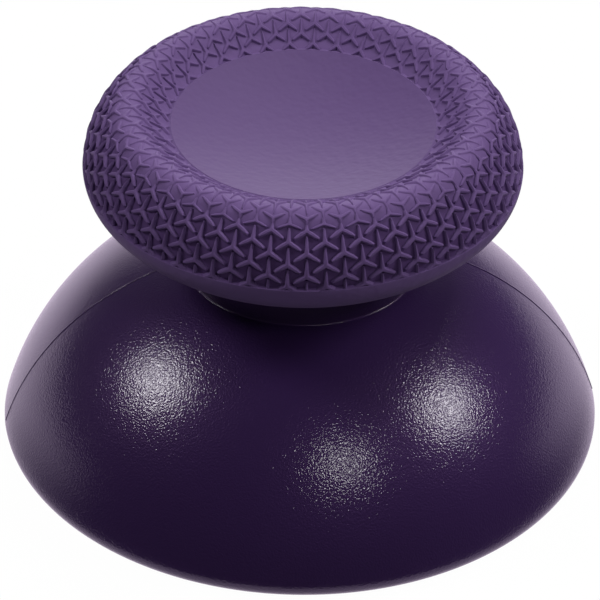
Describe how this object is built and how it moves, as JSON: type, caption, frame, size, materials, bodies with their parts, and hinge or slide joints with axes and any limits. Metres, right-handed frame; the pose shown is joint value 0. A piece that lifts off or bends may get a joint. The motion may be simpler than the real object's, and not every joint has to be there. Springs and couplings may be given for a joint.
{
  "type": "thumbstick cap",
  "caption": "Thumbstick cap: hollow moulded dome with a neck, and a round soft grip with a dished top and a star-textured rim.",
  "frame": {"origin": "on the axis, at the plane of the dome's foot", "axes": "+Z along the axis, from the dome's foot to the grip"},
  "size_m": [0.023, 0.023, 0.0146],
  "materials": {
    "dome_plastic": "dark purple moulded plastic, satin gloss with a fine spark-eroded grain",
    "grip_rubber": "matte mid purple soft elastomer, smooth dish, star relief on the rim"
  },
  "bodies": {
    "root": {"dome_body": "dome_plastic", "grip": "grip_rubber"}
  },
  "joints": []
}
